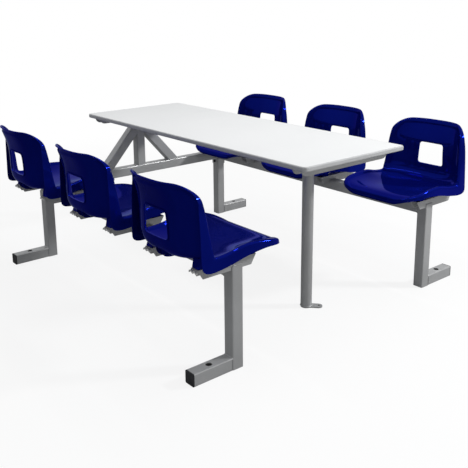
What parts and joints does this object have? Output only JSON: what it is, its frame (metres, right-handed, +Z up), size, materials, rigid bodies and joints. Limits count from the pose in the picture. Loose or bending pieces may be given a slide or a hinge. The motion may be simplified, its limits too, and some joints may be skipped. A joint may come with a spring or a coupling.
{
  "type": "table with attached seats",
  "caption": "Canteen table with a rectangular laminate top and facing rows of moulded bucket seats fixed to square-tube steel beams on floor-standing posts.",
  "frame": {"origin": "on the floor, under the centre of the table top", "axes": "+X along the rows of seats towards the end with the single round leg, +Y across them towards the right row as seen from that leg's end looking at the pedestal, +Z up"},
  "size_m": [1.644, 1.6982, 0.7451],
  "materials": {
    "laminate": "satin white laminate on board",
    "edging": "satin",
    "painted_steel": "silver grey satin powder coat",
    "blue_plastic": "gloss",
    "black_plastic": "matt",
    "dark_steel": "black oxide",
    "zinc": "zinc plated"
  },
  "bodies": {
    "root": {"bearer_far_left_a": "painted_steel", "bearer_far_left_b": "painted_steel", "bearer_far_right_a": "painted_steel", "bearer_far_right_b": "painted_steel", "bearer_middle_left_a": "painted_steel", "bearer_middle_left_b": "painted_steel", "bearer_middle_right_a": "painted_steel", "bearer_middle_right_b": "painted_steel", "bearer_near_left_a": "painted_steel", "bearer_near_left_b": "painted_steel", "bearer_near_right_a": "painted_steel", "bearer_near_right_b": "painted_steel", "collar_bolt_left": "dark_steel", "collar_bolt_right": "dark_steel", "collar_left": "painted_steel", "collar_right": "painted_steel", "cross_beam": "painted_steel", "far_top_rail": "painted_steel", "foot_cap_far_left": "black_plastic", "foot_cap_far_right": "black_plastic", "foot_cap_near_left": "black_plastic", "foot_cap_near_right": "black_plastic", "foot_far_left": "painted_steel", "foot_far_right": "painted_steel", "foot_near_left": "painted_steel", "foot_near_right": "painted_steel", "leg_foot_plate": "painted_steel", "near_top_rail": "painted_steel", "pedestal_brace_left": "painted_steel", "pedestal_brace_right": "painted_steel", "pedestal_upright": "painted_steel", "post_cap_far_left": "painted_steel", "post_cap_far_right": "painted_steel", "post_cap_near_left": "painted_steel", "post_cap_near_right": "painted_steel", "post_far_left": "painted_steel", "post_far_right": "painted_steel", "post_near_left": "painted_steel", "post_near_right": "painted_steel", "seat_beam_left": "painted_steel", "seat_beam_right": "painted_steel", "seat_shell_far_left": "blue_plastic", "seat_shell_far_right": "blue_plastic", "seat_shell_middle_left": "blue_plastic", "seat_shell_middle_right": "blue_plastic", "seat_shell_near_left": "blue_plastic", "seat_shell_near_right": "blue_plastic", "table_leg": "painted_steel", "table_top": "laminate", "top_edge_strip": "edging", "top_screw_far_left": "zinc", "top_screw_far_right": "zinc", "top_screw_near_left": "zinc", "top_screw_near_right": "zinc", "top_spine_rail": "painted_steel"}
  },
  "joints": []
}
